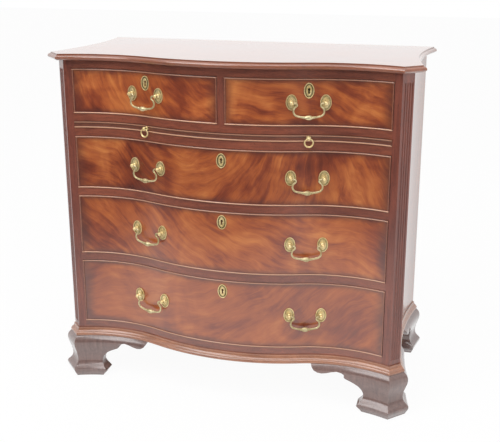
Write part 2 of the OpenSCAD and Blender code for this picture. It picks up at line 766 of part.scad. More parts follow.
module slide_pull(x) at_front(x, pull_z) difference() {
  rotate([90, 0, 0]) rotate_extrude($fn = 36) polygon([[0, -24], [2, -24], [2, -0.6], [5.8, -0.6],
    [5.8, 0.6], [4.4, 1.8], [2.6, 2.4], [2.6, 4.6], [3.6, 5.4], [4.6, 6.9], [5, 8.6], [5, 9.4],
    [4.6, 11.1], [3.6, 12.6], [2, 13.6], [0, 14]]);
  translate([-8, -9, 0]) rotate([0, 90, 0]) cylinder(r = ring_wire + 1.3, h = 16, $fn = 32);
}

module slide_pulls() color("darkkhaki") for (x = [-pull_x, pull_x]) slide_pull(x);

module slide_ring(x) color("darkkhaki") at_front(x, pull_z) translate([0, -9, -ring_radius])
  rotate([90, 0, 0]) rotate_extrude() translate([ring_radius, 0]) circle(r = ring_wire, $fn = 24);

module slide_ring_left() slide_ring(-pull_x);
module slide_ring_right() slide_ring(pull_x);

top_board();
side_left();
side_right();
corner_post_left();
corner_post_right();
back_boards();
drawer_rails();
muntin();
dust_boards();
guides_and_kickers();
base_moulding();
foot_front_left();
foot_front_right();
foot_rear_left();
foot_rear_right();
foot_blocks();
short_left_front();
short_left_cockbead();
short_left_linings();
short_left_bottom();
short_left_brasses();
short_left_bolt();
short_right_front();
short_right_cockbead();
short_right_linings();
short_right_bottom();
short_right_brasses();
short_right_bolt();
upper_front();
upper_cockbead();
upper_linings();
upper_bottom();
upper_brasses();
upper_bolt();
middle_front();
middle_cockbead();
middle_linings();
middle_bottom();
middle_brasses();
middle_bolt();
lower_front();
lower_cockbead();
lower_linings();
lower_bottom();
lower_brasses();
lower_bolt();
short_left_bail();
short_right_bail();
upper_left_bail();
upper_right_bail();
middle_left_bail();
middle_right_bail();
lower_left_bail();
lower_right_bail();
slide_board();
slide_lipping();
slide_pulls();
slide_ring_left();
slide_ring_right();
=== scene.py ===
"""Dresses the serpentine bachelor's chest in mahogany and old brass, in a plain studio."""

import json
import logging
import math
from dataclasses import dataclass, field
from enum import Enum
from typing import Any, Sequence

import bmesh
import bpy
from mathutils import Matrix, Vector

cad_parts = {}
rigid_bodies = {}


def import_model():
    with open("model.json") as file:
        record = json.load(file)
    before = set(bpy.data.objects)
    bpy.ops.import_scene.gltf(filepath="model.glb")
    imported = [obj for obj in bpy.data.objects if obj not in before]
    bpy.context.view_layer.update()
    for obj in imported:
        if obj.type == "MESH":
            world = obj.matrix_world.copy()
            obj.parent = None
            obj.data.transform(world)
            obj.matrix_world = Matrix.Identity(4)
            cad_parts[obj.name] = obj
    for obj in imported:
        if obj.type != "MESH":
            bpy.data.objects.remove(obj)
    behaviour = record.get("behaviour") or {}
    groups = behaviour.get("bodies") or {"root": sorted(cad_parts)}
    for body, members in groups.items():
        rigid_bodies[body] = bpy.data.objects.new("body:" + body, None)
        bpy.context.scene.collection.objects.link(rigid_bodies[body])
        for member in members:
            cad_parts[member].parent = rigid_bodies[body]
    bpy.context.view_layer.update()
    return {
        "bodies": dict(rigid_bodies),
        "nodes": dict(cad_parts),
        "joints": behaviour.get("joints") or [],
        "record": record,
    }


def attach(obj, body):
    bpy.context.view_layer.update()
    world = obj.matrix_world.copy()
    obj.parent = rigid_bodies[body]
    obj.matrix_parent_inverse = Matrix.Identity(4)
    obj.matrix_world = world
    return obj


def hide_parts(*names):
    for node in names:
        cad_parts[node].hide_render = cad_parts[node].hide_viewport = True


LOG = logging.getLogger("chest")

Point = tuple[float, float, float]
Station = tuple[float, float, float, float]
Tint = tuple[int, int, int]
Node, Socket = bpy.types.Node, bpy.types.NodeSocket
Piece, Mesh, Material = bpy.types.Object, bpy.types.Mesh, bpy.types.Material


class Slot(Enum):
    """The names of the record's material slots."""

    MAHOGANY = "mahogany"
    TOP = "mahogany_top"
    FLAME = "flame_mahogany"
    BEAD = "cockbead"
    BRASS = "brass"


class Grain(Enum):
    """The way the grain of a plain board runs, as the stretch along X, Y and Z."""

    ALONG_X = (1.0, 16.0, 16.0)
    ALONG_Y = (16.0, 1.0, 16.0)
    ALONG_Z = (16.0, 16.0, 1.0)


def linear(red: int, green: int, blue: int) -> tuple[float, float, float, float]:
    """A screen colour of 0 to 255 as the linear colour that Blender wants.

    Args:
        red: Red, 0 to 255.
        green: Green, 0 to 255.
        blue: Blue, 0 to 255.

    Returns:
        The linear colour with an alpha of 1.
    """
    parts = [v / 255 for v in (red, green, blue)]
    # the curve of the sRGB standard
    parts = [v / 12.92 if v <= 0.04045 else ((v + 0.055) / 1.055) ** 2.4 for v in parts]
    return (parts[0], parts[1], parts[2], 1.0)


class Graph:
    """Adds nodes to a material, the world or a Geometry Nodes tree, and wires them."""

    def __init__(self, tree: bpy.types.NodeTree) -> None:
        """Empties the tree that is to be filled."""
        self.tree = tree
        tree.nodes.clear()

    def add(self, kind: str, **settings: Any) -> Node:
        """Adds a node.

        Args:
            kind: The node's Blender type.
            **settings: Attributes of the node to set.

        Returns:
            The node.
        """
        node = self.tree.nodes.new(kind)
        for key, value in settings.items():
            setattr(node, key, value)
        return node

    def put(self, socket: Socket, value: Any) -> None:
        """Wires a socket to another one, or gives it a value.

        Args:
            socket: The input.
            value: An output socket, a number, a colour or a vector.
        """
        if isinstance(value, Socket):
            self.tree.links.new(value, socket)
        else:
            socket.default_value = value

    def feed(self, node: Node, **values: Any) -> Node:
        """Wires or sets inputs of a node by their names.

        Args:
            node: The node.
            **values: Input names, with underscores for spaces, and what each one gets.

        Returns:
            The node.
        """
        for name, value in values.items():
            self.put(node.inputs[name.replace("_", " ")], value)
        return node

    def chain(self, *nodes: Node) -> None:
        """Wires the first output of each node to the first input of the next."""
        for before, after in zip(nodes, nodes[1:]):
            self.put(after.inputs[0], before.outputs[0])

    def maths(self, operation: str, *values: Any) -> Socket:
        """A Math node.

        Args:
            operation: Its operation.
            *values: Its inputs.

        Returns:
            Its result.
        """
        node = self.add("ShaderNodeMath", operation=operation)
        for socket, value in zip(node.inputs, values):
            self.put(socket, value)
        return node.outputs[0]

    def noise(self, vector: Any, scale: float, detail: float = 3.0, rough: float = 0.5,
              bend: float = 0.0) -> Socket:
        """A noise texture's value, about 0 to 1."""
        node = self.feed(self.add("ShaderNodeTexNoise"), Vector=vector, Scale=scale,
                         Detail=detail, Roughness=rough, Distortion=bend)
        return node.outputs[0]

    def mapped(self, vector: Any, shift: Point = (0, 0, 0),
               scale: Point = (1, 1, 1)) -> Socket:
        """Coordinates moved and stretched."""
        node = self.feed(self.add("ShaderNodeMapping"), Vector=vector, Location=shift, Scale=scale)
        return node.outputs[0]

    def ramp(self, value: Any, *stops: tuple[float, Sequence[float]]) -> Socket:
        """A colour ramp.

        Args:
            value: The value to colour.
            *stops: Places and colours.

        Returns:
            The colour.
        """
        node = self.add("ShaderNodeValToRGB")
        self.put(node.inputs[0], value)
        bars = node.color_ramp.elements
        while len(bars) < len(stops):
            bars.new(0.5)
        for bar, (place, colour) in zip(bars, stops):
            bar.position, bar.color = place, colour
        return node.outputs[0]

    def blend(self, share: Any, low: Any, high: Any) -> Socket:
        """Mixes two colours.

        Args:
            share: How much of the second.
            low: The first colour.
            high: The second colour.

        Returns:
            The colour.
        """
        node = self.add("ShaderNodeMix", data_type="RGBA")  # sockets 6, 7 and 2 hold the colours
        self.put(node.inputs[0], share)
        self.put(node.inputs[6], low)
        self.put(node.inputs[7], high)
        return node.outputs[2]

    def smooth(self, value: Any, low: float, high: float) -> Socket:
        """A smooth step from 0 where a value is low to 1 where it is high."""
        node = self.add("ShaderNodeMapRange", interpolation_type="SMOOTHSTEP")
        return self.feed(node, Value=value, From_Min=low, From_Max=high).outputs[0]


class Surface(Graph):
    """A material's graph with its shader and the Object coordinates ready."""

    def __init__(self, name: str) -> None:
        """Makes the material.

        Args:
            name: The material's name.
        """
        self.material = bpy.data.materials.new(name)
        self.material.use_nodes = True
        super().__init__(self.material.node_tree)
        self.shader = self.add("ShaderNodeBsdfPrincipled")
        self.output = self.feed(self.add("ShaderNodeOutputMaterial"),
                                Surface=self.shader.outputs[0])
        self.place = self.add("ShaderNodeTexCoord").outputs["Object"]

    def bump(self, height: Any, strength: float, depth: float) -> None:
        """Raises the surface by a height of 0 to 1, where 1 is as deep in metres as it says."""
        node = self.feed(self.add("ShaderNodeBump"), Height=height, Strength=strength,
                         Distance=depth)
        self.feed(self.shader, Normal=node.outputs[0])

    def axis(self, letter: str) -> Socket:
        """One of the Object coordinates, X, Y or Z, in metres."""
        return self.feed(self.add("ShaderNodeSeparateXYZ"), Vector=self.place).outputs[letter]


@dataclass(frozen=True)
class PlainMahogany:
    """Straight-grained, french-polished mahogany.

    Attributes:
        name: The material's name.
        grain: The way its grain runs.
        dark, light: The colours of its bands.
        gloss: The refraction of its polish.
        haze: The roughness of its polish.
        lines: Heights of thin painted highlights, and how strongly each one shows.
        half_highlight: Half the width of such a painted highlight in metres.
        fade: How far the edges of a painted highlight fade in metres.
        pale: The colour of the painted highlights.
    """

    name: str
    grain: Grain
    dark: Tint
    light: Tint
    gloss: float = 1.5
    haze: float = 0.14
    lines: tuple[tuple[float, float], ...] = ()
    half_highlight: float = 0.0012
    fade: float = 0.0002
    pale: Tint = (206, 156, 122)

    def build(self) -> Material:
        """Makes the material."""
        s = Surface(self.name)
        along = s.mapped(s.place, scale=self.grain.value)
        bands = s.noise(along, 9.0, detail=4.0, rough=0.6, bend=0.5)
        pores = s.noise(along, 90.0, detail=2.0, rough=0.6)
        cloud = s.noise(s.place, 5.0, detail=2.0)
        mixed = s.maths("MULTIPLY_ADD", cloud, 0.45, s.maths("MULTIPLY", bands, 0.6))
        colour = s.ramp(mixed, (0.28, linear(*self.dark)), (0.72, linear(*self.light)))
        colour = s.blend(s.smooth(pores, 0.58, 0.72), colour,
                         linear(*[int(v * 0.62) for v in self.dark]))
        # painted highlights: pale bands at given heights stand in for the light that rounded beads
        # catch
        for height, share in self.lines:
            near = s.maths("ABSOLUTE", s.maths("SUBTRACT", s.axis("Z"), height))
            near = s.smooth(near, self.half_highlight + self.fade, self.half_highlight - self.fade)
            colour = s.blend(s.maths("MULTIPLY", near, share), colour, linear(*self.pale))
        s.feed(s.shader, Base_Color=colour, Roughness=s.maths("MULTIPLY_ADD", cloud, 0.12, 0.28),
               Specular_IOR_Level=0.9, Coat_Weight=1.0, Coat_Roughness=self.haze,
               Coat_IOR=self.gloss)
        s.bump(pores, strength=0.12, depth=0.0004)
        return s.material


@dataclass(frozen=True)
class FlameVeneer:
    """Crotch mahogany on one drawer front: streaks that fan out from a heart.

    Attributes:
        name: The material's name.
        left, right: Where the front begins and ends, from the middle of the chest.
        low, high: The heights of its edges.
        heart: Where the streaks start from, along the front.
        lean: How they lean at the heart, in degrees.
        fan: How much more they lean away from it, in degrees.
        seed: Where in the noise the figure lies.
        shade: How bright it is, which holds the veneer's own tone together with painted light fall
            on this drawer.
        calm: How much its contrast is lowered, 0 to 1.
        spread: How fast the lean grows on each side of the heart, per metre.
        edge: From where to where the darkening at its edges fades, in metres.
        edge_share: How much of the margin's colour shows there.
        figure: The stops of its colour ramp.
        margin: The colour of its darkened edges.
    """

    name: str
    left: float
    right: float
    low: float
    high: float
    heart: float
    lean: float
    fan: float
    seed: float
    shade: float
    calm: float = 0.0
    spread: float = 3.2
    edge: tuple[float, float] = (0.004, 0.022)
    edge_share: float = 0.62
    figure: tuple[tuple[float, Tint], ...] = (
        (0.43, (86, 32, 20)), (0.56, (134, 56, 24)), (0.67, (172, 86, 32)), (0.82, (204, 122, 54)))
    margin: Tint = (70, 34, 30)

    def build(self) -> Material:
        """Makes the material."""
        s = Surface(self.name)
        x, z = s.axis("X"), s.axis("Z")
        middle = (self.low + self.high) / 2
        side = s.maths("MULTIPLY", s.maths("SUBTRACT", x, self.heart), self.spread)
        side = s.maths("MAXIMUM", s.maths("MINIMUM", side, 1.0), -1.0)
        angle = s.maths("MULTIPLY_ADD", side, math.radians(self.fan), math.radians(self.lean))
        turn = s.feed(s.add("ShaderNodeVectorRotate", rotation_type="Y_AXIS"), Vector=s.place,
                      Center=(self.heart, 0.0, middle), Angle=angle)
        wander = s.feed(s.add("ShaderNodeTexNoise"), Vector=s.place, Scale=9.0)
        mixer = s.add("ShaderNodeVectorMath", operation="MULTIPLY_ADD")
        s.put(mixer.inputs[0], wander.outputs["Color"])
        mixer.inputs[1].default_value = (0.05, 0.0, 0.05)
        s.put(mixer.inputs[2], turn.outputs[0])
        flow = s.mapped(mixer.outputs[0], shift=(self.seed, self.seed * 0.7, 0),
                        scale=(1.0, 1.0, 7.0))
        streaks = s.noise(flow, 9.0, detail=5.0, rough=0.62, bend=0.6)
        fine = s.noise(s.mapped(flow, scale=(1.0, 1.0, 3.0)), 44.0, rough=0.6)
        patches = s.noise(s.mapped(s.place, shift=(self.seed * 3, 0, self.seed)),
                          8.5, rough=0.55, bend=0.8)
        tone = s.maths("MULTIPLY_ADD", streaks, 0.48,
                       s.maths("MULTIPLY_ADD", patches, 0.58, s.maths("MULTIPLY", fine, 0.2)))
        tone = s.maths("MULTIPLY_ADD", tone, 1.0 - self.calm, 0.64 * self.calm)
        # shade scales the colours: the veneer's own tone together with painted light fall on this
        # drawer
        colour = s.ramp(tone, *[(place, [v * self.shade for v in linear(*tint)[:3]] + [1.0])
                                for place, tint in self.figure])
        ends = s.maths("MINIMUM", s.maths("SUBTRACT", x, self.left),
                       s.maths("SUBTRACT", self.right, x))
        edges = s.maths("MINIMUM", s.maths("SUBTRACT", z, self.low),
                        s.maths("SUBTRACT", self.high, z))
        rim = s.maths("MINIMUM", s.maths("MULTIPLY", ends, 0.5), edges)
        rim = s.maths("MULTIPLY_ADD", patches, 0.012, rim)
        darkened = s.blend(self.edge_share, colour, linear(*self.margin))
        colour = s.blend(s.smooth(rim, *self.edge), darkened, colour)
        s.feed(s.shader, Base_Color=colour, Roughness=s.maths("MULTIPLY_ADD", patches, 0.14, 0.24),
               Specular_IOR_Level=1.0, Coat_Weight=1.0, Coat_Roughness=0.12)
        s.bump(fine, strength=0.06, depth=0.0004)
        return s.material


@dataclass(frozen=True)
class RawTimber:
    """Unpolished drawer oak or back pine.

    Attributes:
        name: The material's name.
        grain: The way its grain runs.
        dark, light: The colours of its rings.
        across: The way the grain runs in boards that face front and back, if another.
    """

    name: str
    grain: Grain
    dark: Tint
    light: Tint
    across: Grain | None = None

    def build(self) -> Material:
        """Makes the material."""
        s = Surface(self.name)
        along = s.mapped(s.place, scale=self.grain.value)
        if self.across:
            facing = s.feed(s.add("ShaderNodeSeparateXYZ"),
                            Vector=s.add("ShaderNodeNewGeometry").outputs["Normal"])
            broad = s.maths("GREATER_THAN", s.maths("ABSOLUTE", facing.outputs[1]), 0.6)
            along = s.blend(broad, along, s.mapped(s.place, scale=self.across.value))
        rings = s.noise(along, 7.0, detail=5.0, rough=0.65, bend=0.4)
        fibres = s.noise(along, 120.0, detail=2.0)
        grime = s.noise(s.place, 6.0, rough=0.6)
        colour = s.ramp(rings, (0.35, linear(*self.dark)), (0.65, linear(*self.light)))
        colour = s.blend(s.maths("MULTIPLY", s.smooth(grime, 0.45, 0.8), 0.45), colour,
                         linear(*[int(v * 0.6) for v in self.dark]))
        s.feed(s.shader, Base_Color=colour, Roughness=0.78)
        s.bump(fibres, strength=0.25, depth=0.0005)
        return s.material


@dataclass(frozen=True)
class OldMetal:
    """Brass or steel with a dull, uneven skin, and painted shade with some grime darkening its
    corners.

    Attributes:
        name: The material's name.
        bright, dull, shade_and_grime: The colours of its bright spots, its skin, and the painted
            corner shade with some grime.
        metal: How metallic the skin is.
        rough: The roughness of its bright spots.
        reach: How far from a corner the painted shade and grime reach, in metres.
    """

    name: str
    bright: Tint
    dull: Tint
    shade_and_grime: Tint
    metal: float
    rough: float
    reach: float = 0.0026

    def build(self) -> Material:
        """Makes the material."""
        s = Surface(self.name)
        spots = s.noise(s.place, 260.0, detail=4.0, rough=0.6)
        wide = s.noise(s.place, 60.0, detail=2.0)
        share = s.smooth(s.maths("MULTIPLY_ADD", spots, 0.5, wide), 0.55, 1.0)
        colour = s.blend(share, linear(*self.bright), linear(*self.dull))
        # painted shade, with some grime: ambient occlusion darkens the corners and recesses toward
        # the darkest colour
        corner = s.feed(s.add("ShaderNodeAmbientOcclusion", samples=6), Distance=self.reach)
        colour = s.blend(s.smooth(corner.outputs["AO"], 0.35, 0.9), linear(*self.shade_and_grime), colour)
        s.feed(s.shader, Base_Color=colour, Metallic=self.metal,
               Roughness=s.maths("MULTIPLY_ADD", share, 0.2, self.rough))
        s.bump(spots, strength=0.1, depth=0.0002)
        return s.material


class Finishes:
    """Every finish of the chest, made when it is first asked for."""

    def __init__(self) -> None:
        """Names the recipes."""
        wood, timber, metal = PlainMahogany, RawTimber, OldMetal
        along_x, along_y, along_z = Grain.ALONG_X, Grain.ALONG_Y, Grain.ALONG_Z
        self.made: dict[str, Material] = {}
        self.recipes: dict[str, Any] = {
            "rail": wood("rail mahogany", along_x, (84, 38, 29), (142, 72, 46)),
            "post": wood("post mahogany", along_z, (80, 36, 29), (136, 68, 48), gloss=1.36),
            "stile": wood("muntin mahogany", along_z, (84, 38, 30), (138, 70, 48)),
            "side": wood("side mahogany", along_z, (104, 54, 38), (156, 92, 62), gloss=2.5,
                         haze=0.05),
            "top": wood("top mahogany", along_x, (102, 52, 34), (152, 88, 58)),
            "moulding": wood("moulding mahogany", along_x, (116, 68, 48), (176, 118, 86)),
            # the feet's greyed, washed-out colours hold painted reflection: the glare of the pale
            # floor mixed into the wood
            "foot": wood("foot mahogany", along_z, (84, 62, 57), (130, 101, 94)),
            # painted highlights on the cockbeads: strong on the lower beads, which catch the
            # overhead light, weak on the upper ones
            "bead": wood("cockbead mahogany", along_x, (96, 49, 35), (146, 86, 60), lines=(
                (0.7271, 0.85), (0.5316, 0.85), (0.353, 0.8), (0.1574, 0.75),
                (0.8361, 0.3), (0.6644, 0.4), (0.5073, 0.45), (0.3283, 0.45))),
            "slide": wood("slide mahogany", along_x, (92, 42, 30), (134, 70, 48)),
            # painted highlights on the slide's lipping: strong along its lower edge, weak along
            # its upper one
            "lipping": wood("lipping mahogany", along_x, (80, 38, 28), (124, 68, 46), lines=(
                (0.6902, 0.85), (0.7028, 0.4))),
            "oak x": timber("oak across", along_x, (120, 84, 50), (176, 134, 88)),
            "oak y": timber("oak lengthways", along_y, (116, 80, 48), (170, 128, 84), along_x),
            "pine": timber("back pine", along_x, (134, 94, 56), (186, 146, 98)),
            "brass": metal("old brass", (255, 234, 178), (222, 194, 132), (84, 66, 34),
                           metal=0.66, rough=0.28),
            "bail": metal("bail brass", (226, 212, 168), (184, 166, 122), (84, 70, 44),
                          metal=0.7, rough=0.34),
            "tarnish": metal("tarnished brass", (110, 96, 54), (88, 77, 43), (64, 54, 30),
                             metal=0.3, rough=0.5),
            "steel": metal("dark steel", (130, 128, 122), (80, 74, 66), (50, 44, 38),
                           metal=0.9, rough=0.42),
        }

    def get(self, name: str) -> Material:
        """The material of a short name, made at the first call.

        Args:
            name: The short name.

        Returns:
            The material.
        """
        if name not in self.made:
            self.made[name] = self.recipes[name].build()
        return self.made[name]


def fresh(name: str, data: bpy.types.ID) -> Piece:
    """Puts a mesh, a lamp or a camera into the scene, at the origin.

    Args:
        name: The object's name.
        data: Its mesh, lamp or camera.

    Returns:
        The object.
    """
    made = bpy.data.objects.new(name, data)
    bpy.context.scene.collection.objects.link(made)
    return made


def settle(piece: Piece) -> None:
    """Turns a piece and its modifiers into a plain mesh.

    Args:
        piece: The piece, whose modifiers go.
    """
    bpy.context.view_layer.update()
    graph = bpy.context.evaluated_depsgraph_get()
    mesh = bpy.data.meshes.new_from_object(piece.evaluated_get(graph), depsgraph=graph)
    piece.modifiers.clear()
    old, piece.data = piece.data, mesh
    bpy.data.meshes.remove(old)


def path_of(name: str, points: Sequence[Vector], closed: bool,
            radii: Sequence[float] | None = None) -> Piece:
    """Makes a chain of points, which Geometry Nodes turn into a rod or a row of beads.

    Args:
        name: The object's name.
        points: The points.
        closed: Whether the last point meets the first.
        radii: The rod's radius at each point.

    Returns:
        The object.
    """
    count = len(points)
    chain = [(i, (i + 1) % count) for i in range(count if closed else count - 1)]
    mesh = bpy.data.meshes.new(name)
    mesh.from_pydata(points, chain, [])
    if radii:
        radius = mesh.attributes.new("rod_radius", "FLOAT", "POINT")
        radius.data.foreach_set("value", radii)
    return fresh(name, mesh)


def oval(place: Matrix, middle: Point, wide: float, tall: float, count: int) -> list[Vector]:
    """Points round an upright oval.

    Args:
        place: The frame that it lies in.
        middle: Its middle in that frame.
        wide: Half its width.
        tall: Half its height.
        count: How many points.

    Returns:
        The points.
    """
    x, y, z = middle
    turns = [2 * math.pi * i / count for i in range(count)]
    return [place @ Vector((x + wide * math.cos(a), y, z + tall * math.sin(a))) for a in turns]


@dataclass(frozen=True)
class Plan:
    """The plan of the chest: a bow between two hollows, canted corners and hollow sides.

    Attributes:
        bow_radius, bow_y: The radius of the bow, and where its centre lies.
        hollow_radius: The radius of the front's hollows.
        hollow_x, hollow_y: Where the right one's centre lies.
        side_x, side_y: Where the centre of the right side's hollow lies.
        bow_share: Half the angle of the bow.
        match: How well a face must fit a run of the plan, as a cosine.
        level: From which upward normal on a face is flat.
        upright: The least level part of the normal of a face that belongs to a run.
        crease: The angle that keeps two mouldings apart.
    """

    bow_radius: float = 0.585
    bow_y: float = 0.3762
    hollow_radius: float = 0.340
    hollow_x: float = 0.300
    hollow_y: float = -0.4988
    side_x: float = 1.2762
    side_y: float = 0.0371
    bow_share: float = 0.3243
    match: float = 0.985
    level: float = 0.999
    upright: float = 0.25
    crease: float = math.radians(32)

    def facings(self, x: float, y: float) -> list[Vector]:
        """The ways that the front, the cant and the side face at a place.

        Args:
            x: Distance to the right of the middle.
            y: Distance behind the middle.

        Returns:
            Three level directions of length 1.
        """
        hand = math.copysign(1.0, x)
        if abs(x) < math.tan(self.bow_share) * (self.bow_y - y):
            front = Vector((x, y - self.bow_y, 0.0))
        else:
            front = Vector((hand * self.hollow_x - x, self.hollow_y - y, 0.0))
        side = Vector((hand * self.side_x - x, self.side_y - y, 0.0))
        return [front.normalized(), Vector((hand, -1.0, 0.0)).normalized(), side.normalized()]

    def on_front(self, x: float, z: float) -> Matrix:
        """A frame on the face of the front: X to the right along it, Y into the wood.

        Args:
            x: Distance to the right of the middle.
            z: Height above the floor.

        Returns:
            The frame.
        """
        if abs(x) < self.bow_radius * math.sin(self.bow_share):
            y = self.bow_y - math.sqrt(self.bow_radius ** 2 - x * x)
        else:
            y = self.hollow_y + math.sqrt(self.hollow_radius ** 2 - (abs(x) - self.hollow_x) ** 2)
        inward = -self.facings(x, y)[0]
        turn = Matrix(((inward.y, -inward.x, 0.0), inward, (0.0, 0.0, 1.0))).transposed()
        return Matrix.Translation((x, y, z)) @ turn.to_4x4()

    def smooth(self, mesh: Mesh) -> None:
        """Gives the faceted runs of a mesh the corner normals of their true curves.

        Args:
            mesh: The mesh.
        """
        run: dict[int, tuple[int, float]] = {}
        tilts: dict[tuple[int, int], list[float]] = {}
        for face in mesh.polygons:
            flat = Vector((face.normal.x, face.normal.y, 0.0))
            if flat.length < self.upright:
                continue
            scores = [flat.normalized().dot(v) for v in self.facings(face.center.x, face.center.y)]
            best = max(range(3), key=scores.__getitem__)
            if scores[best] > self.match:
                tilt = math.atan2(face.normal.z, flat.length)
                run[face.index] = (best, tilt)
                for corner in face.vertices:
                    tilts.setdefault((best, corner), []).append(tilt)
        normals = [(0.0, 0.0, 0.0)] * len(mesh.loops)
        for face in mesh.polygons:
            if abs(face.normal.z) > self.level:
                for corner in face.loop_indices:
                    normals[corner] = tuple(face.normal)
        for index, (best, tilt) in run.items():
            for corner in mesh.polygons[index].loop_indices:
                vertex = mesh.loops[corner].vertex_index
                near = [t for t in tilts[(best, vertex)] if abs(t - tilt) < self.crease]
                lean = sum(near) / len(near)
                place = mesh.vertices[vertex].co
                way = self.facings(place.x, place.y)[best] * math.cos(lean)
                normals[corner] = (way.x, way.y, math.sin(lean))
        mesh.normals_split_custom_set(normals)


@dataclass
class Dresser:
    """Gives CAD nodes their finish, rounded edges and smooth curves.

    Attributes:
        finishes: The materials.
        merge: Within how many metres two corners are one.
        sliver: Edges shorter than this many metres go.
        level: The angle in degrees below which two faces are one.
        edge: The angle in degrees above which an edge is an edge.
    """

    frame: dict[str, Any]
    finishes: Finishes
    merge: float = 0.000004
    sliver: float = 0.000002
    level: float = 0.4
    edge: float = 34.0

    def body(self, node: str) -> str:
        """The body that carries a CAD node."""
        bodies = self.frame["record"]["behaviour"]["bodies"]
        return next(name for name, nodes in bodies.items() if node in nodes)

    def hinge_frame(self, joint: str) -> Matrix:
        """A hinge's own frame: X to the right along its pin, Y into the wood.

        Args:
            joint: The joint's name.

        Returns:
            The frame at rest.
        """
        joints = self.frame["record"]["behaviour"]["joints"]
        found = next(j for j in joints if j["name"] == joint)
        right = -Vector(found["axis"]).normalized()
        inward = Vector((-right.y, right.x, 0.0))
        turn = Matrix((right, inward, (0.0, 0.0, 1.0))).transposed()
        return Matrix.Translation(found["pos_m"]) @ turn.to_4x4()

    def coat(self, node: str, finish: str) -> None:
        """Gives a CAD node's own mesh a finish.

        Args:
            node: The node.
            finish: The finish's short name.
        """
        made = self.frame["nodes"][node]
        made.data.materials.clear()
        made.data.materials.append(self.finishes.get(finish))
        LOG.info("%s: %s", node, finish)

    def finish_off(self, piece: Piece, node: str, slot: Slot = Slot.BRASS,
                   swap: bool = True) -> None:
        """Rides a piece on the body of a node.

        Args:
            piece: The piece.
            node: The CAD node.
            slot: The record's slot for its finish; not used.
            swap: Whether the piece stands for the node.
        """
        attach(piece, self.body(node))
        if swap:
            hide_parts(node)
        LOG.info("%s on %s", piece.name, self.body(node))

    def round_off(self, node: str, finish: str, slot: Slot = Slot.MAHOGANY,
                  width: float = 0.0, steps: int = 2, curved: bool = True) -> None:
        """Replaces a node by a merged copy, with rounded edges where it has a width for them.

        Args:
            node: The node.
            finish: The finish's short name.
            slot: The record's slot.
            width: The width of the rounding in metres; 0 leaves the edges sharp.
            steps: Its segments.
            curved: Whether the node follows the plan of the chest.
        """
        work = bmesh.new()
        work.from_mesh(self.frame["nodes"][node].data)
        bmesh.ops.remove_doubles(work, verts=work.verts, dist=self.merge)
        bmesh.ops.dissolve_degenerate(work, edges=work.edges, dist=self.sliver)
        bmesh.ops.dissolve_limit(work, angle_limit=math.radians(self.level), verts=work.verts,
                                 edges=work.edges, use_dissolve_boundaries=False)
        mesh = bpy.data.meshes.new(node + "_dressed")
        work.to_mesh(mesh)
        work.free()
        piece = fresh(node + "_dressed", mesh)
        mesh.materials.append(self.finishes.get(finish))
        mesh.shade_smooth()
        mesh.set_sharp_from_angle(angle=math.radians(self.edge))
        if width:
            bevel = piece.modifiers.new("edge", "BEVEL")
            bevel.width, bevel.segments = width, steps
            bevel.limit_method, bevel.angle_limit = "ANGLE", math.radians(self.edge)
            bevel.harden_normals = True
            bevel.use_clamp_overlap = True
            settle(piece)
        if curved:
            Plan().smooth(piece.data)
        self.finish_off(piece, node, slot)


@dataclass
class Carcass:
    """Top, sides, posts, rails, back, base moulding and feet."""

    dresser: Dresser

    def build(self) -> None:
        """Dresses every piece of the carcass."""
        d = self.dresser
        d.round_off("top_board", "top", Slot.TOP)
        for hand in ("left", "right"):
            d.round_off("side_" + hand, "side")
            d.round_off("corner_post_" + hand, "post", curved=False)
            d.round_off("foot_front_" + hand, "foot")
            d.round_off("foot_rear_" + hand, "foot")
        d.round_off("drawer_rails", "rail")
        d.round_off("muntin", "stile")
        d.round_off("base_moulding", "moulding")
        d.coat("back_boards", "pine")
        d.coat("dust_boards", "oak x")
        d.coat("guides_and_kickers", "oak y")
        d.coat("foot_blocks", "pine")


